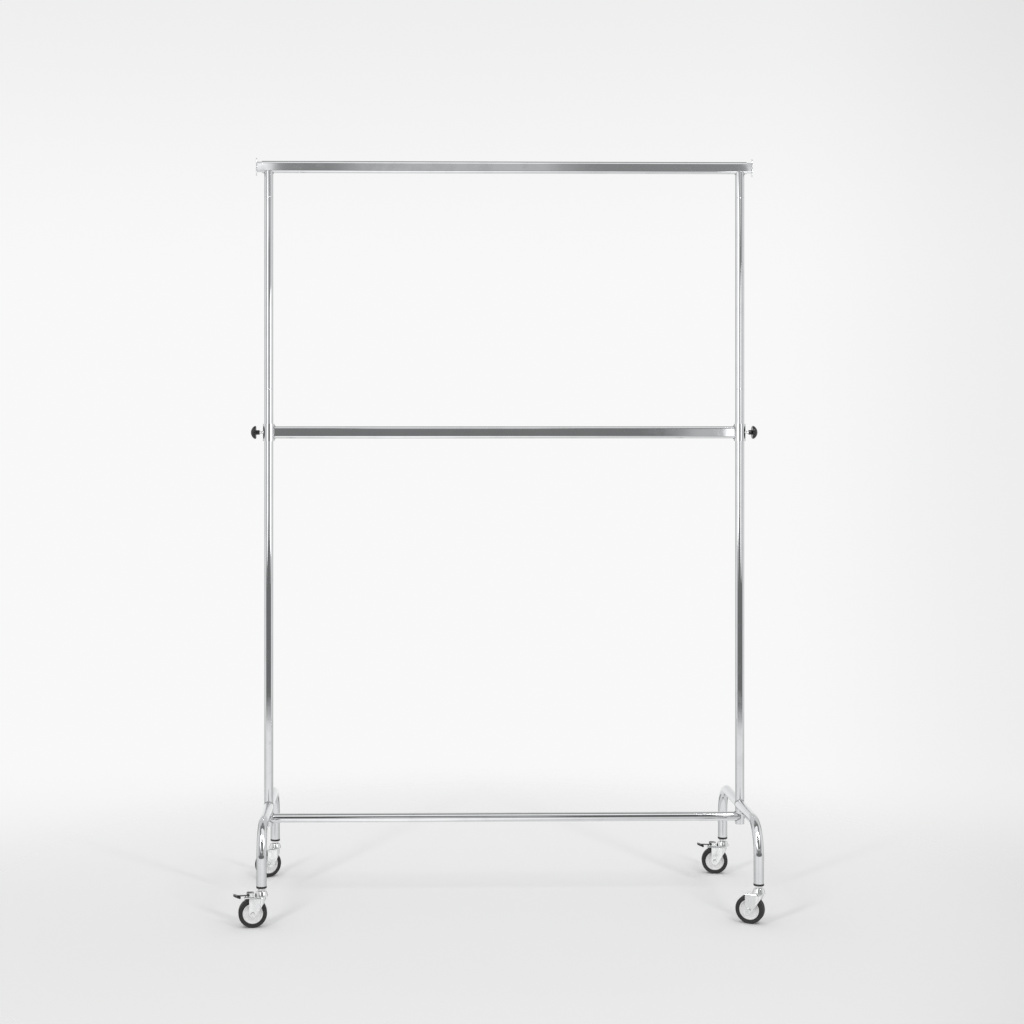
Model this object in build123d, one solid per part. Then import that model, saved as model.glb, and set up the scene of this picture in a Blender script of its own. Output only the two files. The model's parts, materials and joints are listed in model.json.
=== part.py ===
"""Rolling clothes rack with two hanging rails, two base hoops and four swivel casters.

Millimetres, +Z up. The origin is on the floor, midway between the four caster stems.
+X runs along the rails and the front of the rack faces -Y.
"""

from build123d import *
from math import asin, degrees, sqrt
import os

# Overall sizes
rack_height = 2048.0
upright_span = 1310.0
leg_spacing = 510.0

# Round tubes
upright_diameter = 25.0
upright_bore = 22.0
hoop_diameter = 27.0
hoop_bore = 23.0
hoop_axis_height = 260.0
hoop_bend_radius = 80.0
leg_bottom_height = 107.5

# Seams in the uprights, one by its height and one by its depth below the rack's top
upright_seam_height = 1415.0
post_seam_drop = 101.0
plug_clearance = 0.1
plug_wall = 2.0
coupler_reach = 60.0
spigot_reach = 70.0

# Flat-oval rail tube
rail_depth = 34.0
rail_width = 15.0
rail_wall = 2.0
rail_overhang = 19.0
post_notch_depth = 6.0

# Pull-out arms in the ends of the top rail
arm_clearance = 0.5
arm_wall = 1.5
arm_showing = 13.5
arm_hidden = 380.0
glide_clearance = 0.3
glide_length = 25.0
stop_plate_height = 50.0
stop_plate_depth = 20.0
stop_plate_thickness = 2.5

# Lower crossbar and the stubs that carry it
crossbar_drop = 34.0
stub_tail = 21.0
stub_bore = 21.0
crossbar_insert_length = 45.0
bolt_diameter = 8.0
bolt_clearance = 0.2
bolt_head_diameter = 13.0
bolt_head_height = 5.0

# Middle rail, its sleeves and their clamps
mid_rail_height = 1295.0
sleeve_diameter = 32.0
sleeve_height = 48.0
sleeve_clearance = 0.3
screw_diameter = 8.0
screw_clearance = 0.05
screw_showing = 9.0
screw_grip = 16.0
pad_gap = 0.02
pad_thickness = 2.0
pad_diameter = 7.0
knob_diameter = 36.0
knob_head_thickness = 15.0
knob_rim_thickness = 5.0
knob_collar_diameter = 13.0
knob_collar_length = 9.5
knob_edge_round = 2.0

# Leg inserts and caster stems
insert_flange = 5.5
insert_flange_overhang = 0.4
insert_length = 34.0
insert_clearance = 0.05
stem_diameter = 10.0
stem_length = 28.0
collar_across_flats = 19.0
collar_height = 4.5
kingpin_radius = 7.5
rivet_radius = 8.8

# Ball race in each swivel head
ball_radius = 2.5
ball_clearance = 0.05
ball_count = 8
ball_pitch_radius = 9.0
race_radius = 10.5
race_height = 87.5

# Caster wheel
wheel_diameter = 75.0
tread_width = 24.0
tread_shoulder = 3.5
tyre_thickness = 11.0
hub_boss_radius = 11.0
hub_boss_width = 26.0
hub_web_width = 13.0
hub_rim_width = 20.0
hub_rim_thickness = 3.5
axle_diameter = 6.0
spacer_diameter = 10.0
axle_clearance = 0.05
axle_head_across_flats = 10.0
axle_head_height = 4.0
axle_nut_height = 5.0

# Caster fork
caster_trail = 23.0
fork_inside_width = 30.0
fork_sheet = 2.0
fork_crown_underside = 79.0
fork_boss_radius = 9.5
fork_front_reach = 12.0
fork_front_drop = 7.0
fork_nose_round = 16.0
fork_bend = 4.0
head_radius = 17.0
head_top_radius = 13.0
head_skirt = 3.5
head_round = 3.0
head_roof = 1.5
head_height = 14.0
swivel_clearance = 0.4

# Brake on two of the casters
brake_tail_reach = 46.0
brake_tail_depth = 3.0
brake_slot_start = 36.0
brake_slot_width = 18.0
brake_pivot_reach = 35.0
brake_pivot_height = 86.5
brake_lug_thickness = 2.0
brake_lug_radius = 4.0
brake_rivet_reach = 23.0
brake_pin_diameter = 5.0
brake_pin_head = 1.5
brake_cam_radius = 4.2
brake_lever_width = 17.0
brake_lever_sheet = 2.0
brake_arm_drop = 3.5
brake_arm_grip = 15.0
brake_arm_width = 7.0
brake_shoe_reach = 41.5
brake_shoe_gap = 3.4
brake_shoe_width = 12.0
pedal_reach = 74.0
pedal_length = 20.0
pedal_width = 18.0
pedal_corner = 6.0
pedal_top_height = 86.8
pedal_tip_depth = 3.5
pedal_top_fall = 6.5
pedal_heel_depth = 10.5
pedal_heel_length = 3.0
pedal_edge_round = 1.2

# Heading of each caster at rest, in degrees about +Z from a wheel that trails straight towards -X
caster_headings = {"front_left": 6.0, "front_right": -26.0, "rear_left": 30.0, "rear_right": -8.0}
braked_casters = ("front_left", "rear_right")

# Values worked out from the sizes above
sides = {"left": -1, "right": 1}
upright_x = upright_span / 2
hoop_radius = hoop_diameter / 2
upright_radius = upright_diameter / 2
plug_diameter = upright_bore - 2 * plug_clearance
top_rail_height = rack_height - rail_depth / 2
post_seam_height = rack_height - post_seam_drop
crossbar_height = hoop_axis_height - crossbar_drop
stub_bottom_height = crossbar_height - stub_tail
top_rail_length = upright_span + 2 * rail_overhang
post_top_height = rack_height - rail_depth + post_notch_depth
arm_depth = rail_depth - 2 * rail_wall - 2 * arm_clearance
arm_width = rail_width - 2 * rail_wall - 2 * arm_clearance
insert_bottom_height = leg_bottom_height - insert_flange
kingpin_top_height = insert_bottom_height - collar_height
fork_crown_top = fork_crown_underside + fork_sheet
fork_outside_width = fork_inside_width + 2 * fork_sheet
wheel_radius = wheel_diameter / 2
rim_radius = wheel_radius - tyre_thickness
sleeve_bore = upright_diameter + 2 * sleeve_clearance
on_base = (Align.CENTER, Align.CENTER, Align.MIN)


def rod(diameter, start, end):
    """Solid round bar along Z from one height to another."""
    return Pos(0, 0, start) * Cylinder(diameter / 2, end - start, align=on_base)


def tube(diameter, bore, start, end):
    """Hollow round bar along Z."""
    return rod(diameter, start, end) - rod(bore, start, end)


def bar_x(diameter, start, end):
    """Solid round bar along X."""
    return Rot(0, 90, 0) * rod(diameter, start, end)


def bar_y(diameter, start, end):
    """Solid round bar along Y."""
    return Rot(-90, 0, 0) * rod(diameter, start, end)


def oval_bar(depth, width, start, end):
    """Solid flat-oval bar along X, with its long side upright."""
    section = Plane.YZ.offset(start) * Rot(0, 0, 90) * SlotOverall(depth, width)
    return extrude(section, end - start)


def oval_tube(depth, width, wall, start, end):
    """Hollow flat-oval bar along X."""
    bore = oval_bar(depth - 2 * wall, width - 2 * wall, start, end)
    return oval_bar(depth, width, start, end) - bore


def base_hoop():
    """Inverted-U tube with two legs, bent in the plane that runs front to back."""
    half = leg_spacing / 2
    path = FilletPolyline(
        (0, -half, leg_bottom_height),
        (0, -half, hoop_axis_height),
        (0, half, hoop_axis_height),
        (0, half, leg_bottom_height),
        radius=hoop_bend_radius,
    )
    start = Plane(origin=path @ 0, z_dir=path % 0)
    outside = sweep(start * Circle(hoop_radius), path=path)
    inside = sweep(start * Circle(hoop_bore / 2), path=path)
    return outside - inside


def hoop_core():
    """Straight bar in the place of a hoop's top run, to cut the saddles that sit on it."""
    half = leg_spacing / 2 - hoop_bend_radius
    return Pos(0, 0, hoop_axis_height) * bar_y(hoop_diameter, -half, half)


def lower_upright():
    """Lower length of an upright, saddle-cut at the foot to sit on its hoop."""
    return tube(upright_diameter, upright_bore, hoop_axis_height, upright_seam_height) - hoop_core()


def upper_upright():
    """Upper length of an upright."""
    return tube(upright_diameter, upright_bore, upright_seam_height, post_seam_height)


def foot_spigot():
    """Tube welded on the hoop that the upright's foot slides over."""
    bore = plug_diameter - 2 * plug_wall
    top = hoop_axis_height + hoop_radius + spigot_reach
    return tube(plug_diameter, bore, hoop_axis_height, top) - hoop_core()


def plug(seam):
    """Tube inside an upright that bridges a seam."""
    return tube(plug_diameter, plug_diameter - 2 * plug_wall, seam - coupler_reach, seam + coupler_reach)


def rail_post():
    """Short post whose top is notched round the underside of the top rail."""
    rail = Pos(0, 0, top_rail_height) * oval_bar(rail_depth, rail_width, -upright_diameter, upright_diameter)
    return tube(upright_diameter, upright_bore, post_seam_height, post_top_height) - rail


def base_stub():
    """Tube under the middle of a hoop, drilled for the bolt that holds the crossbar."""
    body = tube(upright_diameter, stub_bore, stub_bottom_height, hoop_axis_height) - hoop_core()
    drill = bar_x(bolt_diameter + 2 * bolt_clearance, -upright_diameter, upright_diameter)
    return body - Pos(0, 0, crossbar_height) * drill


def stub_core():
    """Solid bar in the place of each stub, to cope the ends of the crossbar."""
    bar = rod(upright_diameter, 0, hoop_axis_height)
    return [Pos(side * upright_x, 0, 0) * bar for side in sides.values()]


def lower_crossbar():
    """Round bar between the two stubs."""
    outside = bar_x(upright_diameter, -upright_x, upright_x)
    inside = bar_x(upright_bore, -upright_x, upright_x)
    return Pos(0, 0, crossbar_height) * (outside - inside) - stub_core()


def crossbar_insert(side):
    """Threaded plug in one end of the crossbar."""
    inner = upright_x - crossbar_insert_length
    blank = bar_x(upright_bore, inner, upright_x) - bar_x(bolt_diameter, inner, upright_x)
    if side < 0:
        blank = mirror(blank, about=Plane.YZ)
    return Pos(0, 0, crossbar_height) * blank - stub_core()


def crossbar_bolt(side):
    """Bolt through a stub into the crossbar's insert, with a domed head outside."""
    outer = upright_x + upright_radius
    shank = bar_x(bolt_diameter, upright_x - crossbar_insert_length, outer)
    head = bar_x(bolt_head_diameter, outer, outer + bolt_head_height)
    rim = head.faces().sort_by(Axis.X)[-1].edges()
    bolt = shank + fillet(rim, bolt_head_height / 2)
    if side < 0:
        bolt = mirror(bolt, about=Plane.YZ)
    return Pos(0, 0, crossbar_height) * bolt


def top_rail():
    """Flat-oval top rail, open at both ends for the arms."""
    half = top_rail_length / 2
    return Pos(0, 0, top_rail_height) * oval_tube(rail_depth, rail_width, rail_wall, -half, half)


def extension_arm():
    """Flat-oval arm that slides out of the right-hand end of the top rail."""
    half = top_rail_length / 2
    arm = oval_tube(arm_depth, arm_width, arm_wall, half - arm_hidden, half + arm_showing)
    return Pos(0, 0, top_rail_height) * arm


def stop_plate():
    """Upright plate on the arm's outer end that keeps hangers on."""
    start = top_rail_length / 2 + arm_showing
    plate = oval_bar(stop_plate_height, stop_plate_depth, start, start + stop_plate_thickness)
    return Pos(0, 0, top_rail_height) * plate


def arm_glide():
    """Plastic guide on the arm's inner end, with a tongue that plugs into the arm."""
    end = top_rail_length / 2 - arm_hidden
    room = 2 * (rail_wall + glide_clearance)
    head = oval_bar(rail_depth - room, rail_width - room, end - glide_length, end)
    tongue = oval_bar(arm_depth - 2 * arm_wall, arm_width - 2 * arm_wall, end, end + glide_length)
    return Pos(0, 0, top_rail_height) * (head + tongue)


def mid_rail():
    """Flat-oval middle rail, coped at both ends to the sleeves."""
    blank = oval_tube(rail_depth, rail_width, rail_wall, -upright_x, upright_x)
    sleeve = rod(sleeve_diameter, -sleeve_height, sleeve_height)
    copes = [Pos(side * upright_x, 0, 0) * sleeve for side in sides.values()]
    return Pos(0, 0, mid_rail_height) * (blank - copes)


def rail_sleeve():
    """Sleeve round an upright, tapped for the clamp screw on its +X side."""
    body = tube(sleeve_diameter, sleeve_bore, -sleeve_height / 2, sleeve_height / 2)
    return body - bar_x(screw_diameter + 2 * screw_clearance, 0, sleeve_diameter)


def clamp_pad():
    """Small pad that the clamp screw presses on the upright, along +X from the upright's axis."""
    start = upright_radius + pad_gap
    return bar_x(pad_diameter, start, start + pad_thickness)


def clamp_screw():
    """Screw from the pad into the knob."""
    start = upright_radius + pad_gap + pad_thickness
    return bar_x(screw_diameter, start, sleeve_diameter / 2 + screw_showing + screw_grip)


def clamp_knob():
    """Mushroom knob on the clamp screw."""
    collar = sleeve_diameter / 2 + screw_showing
    under = collar + knob_collar_length
    rim = under + knob_rim_thickness
    crown = under + knob_head_thickness
    radius = knob_diameter / 2
    rise = crown - rim
    dome_radius = (radius**2 + rise**2) / (2 * rise)
    dome = CenterArc((crown - dome_radius, 0), dome_radius, 0, degrees(asin(radius / dome_radius)))
    side = Polyline(
        (rim, radius),
        (under, radius),
        (under, knob_collar_diameter / 2),
        (collar, knob_collar_diameter / 2),
        (collar, 0),
        (crown, 0),
    )
    profile = make_face(dome.edges() + side.edges())
    profile = fillet(profile.vertices().group_by(Axis.Y)[-1], knob_edge_round)
    grip = bar_x(screw_diameter, 0, collar + screw_grip)
    return revolve(profile, axis=Axis.X) - grip


def leg_insert():
    """Plastic plug in the foot of a leg, with a flange under the tube."""
    flange = rod(hoop_diameter + 2 * insert_flange_overhang, insert_bottom_height, leg_bottom_height)
    body = rod(hoop_bore - 2 * insert_clearance, leg_bottom_height, leg_bottom_height + insert_length)
    top = leg_bottom_height + insert_length
    return flange + body - rod(stem_diameter, insert_bottom_height, top)


def ball_groove():
    """Ring-shaped path that the balls run in."""
    return Pos(0, 0, race_height) * Torus(ball_pitch_radius, ball_radius + ball_clearance)


def caster_stem():
    """Threaded stem, hexagon collar and riveted kingpin of a caster, with the inner ball groove."""
    stem = rod(stem_diameter, insert_bottom_height, insert_bottom_height + stem_length)
    hexagon = RegularPolygon(collar_across_flats / 2, 6, major_radius=False)
    collar = Pos(0, 0, kingpin_top_height) * extrude(hexagon, collar_height)
    rivet_top = fork_crown_underside - swivel_clearance
    rivet_bottom = wheel_diameter + swivel_clearance
    kingpin = rod(2 * kingpin_radius, rivet_bottom, kingpin_top_height)
    rivet = rod(2 * rivet_radius, rivet_bottom, rivet_top)
    return stem + collar + kingpin + rivet - ball_groove()


def race_balls():
    """Balls of one swivel head."""
    ball = Pos(0, 0, race_height) * Sphere(ball_radius)
    return [loc * ball for loc in PolarLocations(ball_pitch_radius, ball_count)]


def wheel_place(shape):
    """Turn a wheel piece made about Z onto the axle of a caster that trails towards -X."""
    return Pos(-caster_trail, 0, wheel_radius) * Rot(90, 0, 0) * shape


def wheel_hub():
    """Moulded hub with a boss, a dished web and a rim."""
    bore = spacer_diameter + 2 * axle_clearance
    rim = tube(2 * rim_radius, 2 * (rim_radius - hub_rim_thickness), -hub_rim_width / 2, hub_rim_width / 2)
    web = rod(2 * rim_radius - hub_rim_thickness, -hub_web_width / 2, hub_web_width / 2)
    boss = rod(2 * hub_boss_radius, -hub_boss_width / 2, hub_boss_width / 2)
    hub = rim + web + boss - rod(bore, -hub_boss_width, hub_boss_width)
    return wheel_place(hub)


def wheel_tyre():
    """Solid rubber tyre with rounded shoulders."""
    ring = tube(wheel_diameter, 2 * rim_radius, -tread_width / 2, tread_width / 2)
    shoulders = ring.edges().filter_by(GeomType.CIRCLE).filter_by(lambda e: e.radius > rim_radius + 1)
    return wheel_place(fillet(shoulders, tread_shoulder))


def wheel_axle():
    """Axle bolt, its nut and the spacer that the hub turns on."""
    outer = fork_outside_width / 2
    hexagon = RegularPolygon(axle_head_across_flats / 2, 6, major_radius=False)
    head = Pos(0, 0, outer) * extrude(hexagon, axle_head_height)
    bolt = rod(axle_diameter, -outer - axle_nut_height, outer) + head
    nut = Pos(0, 0, -outer - axle_nut_height) * extrude(hexagon, axle_nut_height)
    nut -= rod(axle_diameter, -outer - axle_nut_height, -outer)
    spacer = tube(spacer_diameter, axle_diameter, -fork_inside_width / 2, fork_inside_width / 2)
    return [wheel_place(piece) for piece in (bolt, nut, spacer)]


def across(outline, width):
    """Extrude an outline drawn in X and Z to a width centred on the caster's middle plane."""
    return extrude(Plane.XZ.offset(-width / 2) * outline, width)


def nosed_block(inset):
    """Block over the wheel with a rounded nose and bent top edges, set in from the fork's outside."""
    length = 2 * brake_tail_reach
    width = fork_outside_width - 2 * inset
    plan = Pos(fork_front_reach - inset, 0) * Rectangle(length, width, align=(Align.MAX, Align.CENTER))
    plan = fillet(plan.vertices().group_by(Axis.X)[-1], fork_nose_round - inset)
    block = extrude(plan, fork_crown_top - inset)
    return fillet(block.faces().sort_by(Axis.Z)[-1].edges(), fork_bend - inset)


def caster_fork(braked):
    """Pressed fork: sheet bent round the wheel and the fork's nose, with the swivel head on its crown."""
    back = -caster_trail - fork_boss_radius
    boss = Pos(-caster_trail, wheel_radius) * Circle(fork_boss_radius)
    crown = Polyline(
        (back, fork_crown_top),
        (fork_front_reach, fork_crown_top),
        (fork_front_reach, fork_crown_top - fork_front_drop),
    )
    outline = make_hull(boss.edges() + crown.edges())
    if braked:
        tail_size = (brake_tail_reach, brake_tail_depth)
        outline += Pos(0, fork_crown_top) * Rectangle(*tail_size, align=(Align.MAX, Align.MAX))
    blank = across(outline, fork_outside_width) & nosed_block(0)
    inside = nosed_block(fork_sheet)
    axle_hole = wheel_place(rod(axle_diameter, -fork_outside_width, fork_outside_width))
    fork = blank - inside - axle_hole + swivel_head() - swivel_bore()
    return with_brake_seat(fork) if braked else fork


def swivel_head():
    """Raised housing of the ball race on a fork's crown."""
    skirt = rod(2 * head_radius, fork_crown_top, fork_crown_top + head_skirt)
    dome_base = Pos(0, 0, fork_crown_top + head_skirt)
    dome = dome_base * Cone(head_radius, head_top_radius, head_height - head_skirt, align=on_base)
    housing = skirt + dome
    return fillet(housing.faces().sort_by(Axis.Z)[-1].edges(), head_round)


def swivel_bore():
    """Room inside the swivel head for the kingpin and the balls."""
    top = fork_crown_top + head_height
    bore = rod(2 * (kingpin_radius + swivel_clearance), fork_crown_underside, top)
    return bore + rod(2 * race_radius, fork_crown_top, top - head_roof) + ball_groove()


def brake_pivot(shape):
    """Put a piece made about the brake's pivot axis in its place."""
    return Pos(-brake_pivot_reach, 0, brake_pivot_height) * shape


def with_brake_seat(fork):
    """Add the cheeks that hold the brake's pin, and the slot that its shoe reaches through."""
    slot_length = brake_tail_reach - brake_slot_start
    slot = Pos(-brake_tail_reach, 0, fork_crown_top) * Box(
        2 * slot_length, brake_slot_width, 2 * fork_sheet + 2 * fork_bend
    )
    pivot = Pos(-brake_pivot_reach, brake_pivot_height) * Circle(brake_lug_radius)
    rivet = Pos(-brake_rivet_reach, brake_pivot_height) * Circle(brake_lug_radius)
    foot = Polyline(
        (-brake_pivot_reach - brake_lug_radius, fork_crown_top),
        (-brake_rivet_reach + brake_lug_radius, fork_crown_top),
    )
    outline = make_hull(pivot.edges() + rivet.edges() + foot.edges())
    inner = brake_slot_width / 2
    cheeks = [
        extrude(Plane.XZ.offset(start) * outline, brake_lug_thickness)
        for start in (inner, -inner - brake_lug_thickness)
    ]
    pin_hole = brake_pivot(bar_y(brake_pin_diameter, -fork_outside_width, fork_outside_width))
    return fork - slot + cheeks - pin_hole


def brake_pin():
    """Riveted pin that the brake lever turns on."""
    lug = brake_slot_width / 2 + brake_lug_thickness
    shank = bar_y(brake_pin_diameter, -lug, lug)
    starts = (lug, -lug - brake_pin_head)
    heads = [bar_y(2 * brake_lug_radius, start, start + brake_pin_head) for start in starts]
    return brake_pivot(shank + heads)


def lever_arm():
    """Flat arm of the brake lever, from its pivot into the pedal."""
    reach = pedal_reach - pedal_length + brake_arm_grip
    start = Pos(-reach, 0, brake_pivot_height - brake_arm_drop)
    size = (reach - brake_pivot_reach, brake_arm_width, brake_lever_sheet)
    return start * Box(*size, align=(Align.MIN, Align.CENTER, Align.CENTER))


def brake_lever():
    """Steel lever with a rolled eye on the pin and a shoe that points at the tyre."""
    half = brake_lever_width / 2
    eye = brake_pivot(bar_y(2 * brake_cam_radius, -half, half))
    from_axle = brake_shoe_reach - caster_trail
    tyre_height = wheel_radius + sqrt(wheel_radius**2 - from_axle**2)
    shoe_bottom = tyre_height + brake_shoe_gap
    shoe_size = (brake_lever_sheet, brake_shoe_width, brake_pivot_height - brake_arm_drop - shoe_bottom)
    shoe = Pos(-brake_shoe_reach, 0, shoe_bottom) * Box(*shoe_size, align=on_base)
    hole = brake_pivot(bar_y(brake_pin_diameter + 2 * axle_clearance, -half, half))
    return eye + lever_arm() + shoe - hole


def brake_pedal():
    """Wedge-shaped plastic pedal on the end of the lever."""
    heel = pedal_reach - pedal_length
    outline = Polygon(
        (-pedal_reach, pedal_top_height),
        (-pedal_reach, pedal_top_height - pedal_tip_depth),
        (-heel - pedal_heel_length, pedal_top_height - pedal_heel_depth),
        (-heel, pedal_top_height - pedal_heel_depth),
        (-heel, pedal_top_height - pedal_top_fall),
        align=None,
    )
    wedge = across(outline, pedal_width)
    wedge = fillet(wedge.edges().filter_by(Axis.Y), pedal_edge_round)
    middle = Pos(-(pedal_reach + heel) / 2, 0)
    plan = middle * RectangleRounded(pedal_length, pedal_width, pedal_corner)
    return (wedge & extrude(plan, pedal_top_height)) - lever_arm()


def mirrored(shape, side):
    """A piece made for the right-hand end, mirrored for the left-hand end."""
    return shape if side > 0 else mirror(shape, about=Plane.YZ)


def save(name, *solids):
    """Write one node to its own file."""
    export_step(Compound(children=list(solids)) if len(solids) > 1 else solids[0], f"parts/{name}.step")


def save_frame():
    """Write the fixed frame and the pieces hidden inside it."""
    places = [Pos(side * upright_x, 0, 0) for side in sides.values()]
    for name, place in zip(sides, places):
        save(f"{name}_base_hoop", place * base_hoop())
        save(f"{name}_base_stub", place * base_stub())
        save(f"{name}_lower_upright", place * lower_upright())
        save(f"{name}_upper_upright", place * upper_upright())
        save(f"{name}_rail_post", place * rail_post())
    save("foot_spigots", *[place * foot_spigot() for place in places])
    save("upright_couplers", *[place * plug(upright_seam_height) for place in places])
    save("post_plugs", *[place * plug(post_seam_height) for place in places])
    save("top_rail", top_rail())
    save("lower_crossbar", lower_crossbar())
    save("crossbar_inserts", *[crossbar_insert(side) for side in sides.values()])
    save("crossbar_bolts", *[crossbar_bolt(side) for side in sides.values()])


def save_rails():
    """Write the pull-out arms, and the middle rail with its clamps."""
    save("mid_rail", mid_rail())
    for name, side in sides.items():
        save(f"{name}_extension_arm", mirrored(extension_arm(), side))
        save(f"{name}_stop_plate", mirrored(stop_plate(), side))
        save(f"{name}_arm_glide", mirrored(arm_glide(), side))
        at_sleeve = Pos(upright_x, 0, mid_rail_height)
        save(f"{name}_rail_sleeve", mirrored(at_sleeve * rail_sleeve(), side))
        save(f"{name}_clamp_pad", mirrored(at_sleeve * clamp_pad(), side))
        save(f"{name}_clamp_screw", mirrored(at_sleeve * clamp_screw(), side))
        save(f"{name}_clamp_knob", mirrored(at_sleeve * clamp_knob(), side))


def caster_place(name):
    """Place and heading of a caster's stem on the floor."""
    x = upright_x if name.endswith("right") else -upright_x
    y = leg_spacing / 2 if name.startswith("rear") else -leg_spacing / 2
    return Pos(x, y, 0) * Rot(0, 0, caster_headings[name])


def save_casters():
    """Write the four casters, with the brake on two of them."""
    places = [caster_place(name) for name in caster_headings]
    save("leg_inserts", *[place * leg_insert() for place in places])
    save("caster_stems", *[place * caster_stem() for place in places])
    save("swivel_balls", *[place * ball for place in places for ball in race_balls()])
    for name, place in zip(caster_headings, places):
        braked = name in braked_casters
        save(f"{name}_fork", place * caster_fork(braked))
        save(f"{name}_axle", *[place * piece for piece in wheel_axle()])
        save(f"{name}_hub", place * wheel_hub())
        save(f"{name}_tyre", place * wheel_tyre())
        if braked:
            save(f"{name}_brake_pin", place * brake_pin())
            save(f"{name}_brake_lever", place * brake_lever())
            save(f"{name}_brake_pedal", place * brake_pedal())


os.makedirs("parts", exist_ok=True)
save_frame()
save_rails()
save_casters()
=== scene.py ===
"""Dresses the rolling clothes rack: chrome tubes, welds, clamps, casters and a pale studio."""

import json
from math import atan2, cos, pi, radians, sin, sqrt

import bmesh
import bpy
from bpy.props import FloatProperty, FloatVectorProperty, IntProperty, PointerProperty
from mathutils import Matrix, Vector

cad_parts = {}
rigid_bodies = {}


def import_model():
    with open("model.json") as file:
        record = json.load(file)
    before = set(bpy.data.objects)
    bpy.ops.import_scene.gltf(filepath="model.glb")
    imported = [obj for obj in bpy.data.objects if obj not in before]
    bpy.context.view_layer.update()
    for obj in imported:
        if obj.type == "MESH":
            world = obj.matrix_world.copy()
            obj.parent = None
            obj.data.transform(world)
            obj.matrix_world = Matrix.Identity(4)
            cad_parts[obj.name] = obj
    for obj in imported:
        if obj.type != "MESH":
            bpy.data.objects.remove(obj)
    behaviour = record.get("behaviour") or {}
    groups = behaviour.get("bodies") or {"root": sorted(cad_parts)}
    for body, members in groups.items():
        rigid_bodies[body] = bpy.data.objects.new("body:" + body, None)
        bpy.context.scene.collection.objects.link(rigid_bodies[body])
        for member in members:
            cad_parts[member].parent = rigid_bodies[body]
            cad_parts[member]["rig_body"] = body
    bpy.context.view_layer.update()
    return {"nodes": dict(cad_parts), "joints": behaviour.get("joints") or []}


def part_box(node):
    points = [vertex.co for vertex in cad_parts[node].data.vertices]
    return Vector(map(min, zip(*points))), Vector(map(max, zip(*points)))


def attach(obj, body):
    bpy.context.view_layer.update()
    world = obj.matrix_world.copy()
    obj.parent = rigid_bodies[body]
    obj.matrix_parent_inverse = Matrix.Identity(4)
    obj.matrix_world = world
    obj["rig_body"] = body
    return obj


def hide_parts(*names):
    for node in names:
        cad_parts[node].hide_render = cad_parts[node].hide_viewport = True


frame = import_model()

bl_info = {
    "name": "Rolling clothes rack",
    "version": (1, 0, 0),
    "blender": (4, 5, 0),
    "location": "View3D > Sidebar > Rack",
    "description": "Finishes and small parts of a chrome clothes rack on casters",
    "category": "Object",
}

MM = 0.001
JOINTS = {joint["name"]: joint for joint in frame["joints"]}
SLOT_OF_NODE = {name: node.data.materials[0].name for name, node in frame["nodes"].items()}
SIDES = {"left": -1, "right": 1}
CASTERS = ("front_left", "front_right", "rear_left", "rear_right")
BRAKED = ("front_left", "rear_right")

# Mesh tolerances in metres, and angles between faces in degrees
SEAM_MERGE = 2e-7
CAD_MERGE = 1e-6
THREAD_MERGE = 2e-6
ON_PLANE = 1e-7
ON_SHOULDER = 1e-5
FLAT_ANGLE = 0.5
EASED_ANGLE = 35
SHARP_ANGLE = 40

# Metals: colour setting, share of that colour, fineness of the marks,
# roughness where clean and where worn, strength of the relief
METALS = {
    "chrome_tube": ("chrome", 1.0, 1.0, (0.035, 0.09), 0.02),
    "weld_bead": ("chrome", 0.5, 4.0, (0.22, 0.36), 0.25),
    "bare_steel": ("steel", 1.0, 1.6, (0.30, 0.48), 0.20),
    "zinc_hardware": ("zinc", 1.0, 3.0, (0.20, 0.36), 0.20),
    "zinc_sheet": ("zinc", 1.0, 2.4, (0.16, 0.30), 0.22),
}
WORN_SHARE = 0.93
METAL_RELIEF = 0.001

# Moulded and coated surfaces: colour setting, dust, scale of the grain,
# roughness where clear and where clouded, strength of the relief
MOULDINGS = {
    "dark_steel": ("dark_steel", 0.08, 2600.0, (0.30, 0.42), 0.15),
    "black_plastic": ("black_plastic", 0.05, 1500.0, (0.10, 0.20), 0.08),
    "nylon_pad": ("nylon", 0.2, 1800.0, (0.45, 0.6), 0.15),
    "grey_plastic": ("hub", 0.15, 1700.0, (0.26, 0.40), 0.18),
    "black_rubber": ("rubber", 0.12, 900.0, (0.58, 0.78), 0.45),
}
MOULDED_RELIEF = 0.0003

# Rolled lip, in millimetres out from the tube's side and up from its end
LIP_PROFILE = ((-0.5, 0.2), (0.1, 0.15), (0.45, 0.5), (0.45, 1.3), (0.1, 1.8), (-0.5, 2.2))

# Weld beads. Waves along a bead: share of its thickness, count in a turn, phase.
# A coped bar's bead starts a hair off the vertical, so that no ring lies where its halves part.
WELD_SIDES = 10
WELD_WAVES = ((0.16, 26.0, 0.0), (0.08, 11.0, 1.0))
WELD_TIP = 0.05
WELD_START = 0.03
SHORT_WELD = radians(66)

# Clamp screws: where the crest of the thread begins and ends, in shares of the pitch
THREAD_CREST = (0.38, 0.62)
THREAD_STEPS = 40

# Crossbar bolts: shank and the socket's rim in millimetres, dome and socket in shares of the head
BOLT_SHANK = (4.0, 40.0)
BOLT_DOME = ((0.94, 0.0), (1.0, 0.06), (1.0, 0.36), (0.9, 0.66), (0.74, 0.88))
SOCKET_MOUTH, SOCKET_FLAT, SOCKET_DEPTH = 0.5, 0.4, 0.6
SOCKET_RIM, SOCKET_REACH = 0.3, 0.1

# Tyres, in millimetres out from the hub and from the plane of the side
TYRE_SIDE = ((0.0, -0.6), (0.6, 0.0), (2.6, 0.0), (3.0, -0.4), (3.4, 0.0))
PARTING_HALF, PARTING_DEPTH = 0.35, 0.18

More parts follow.
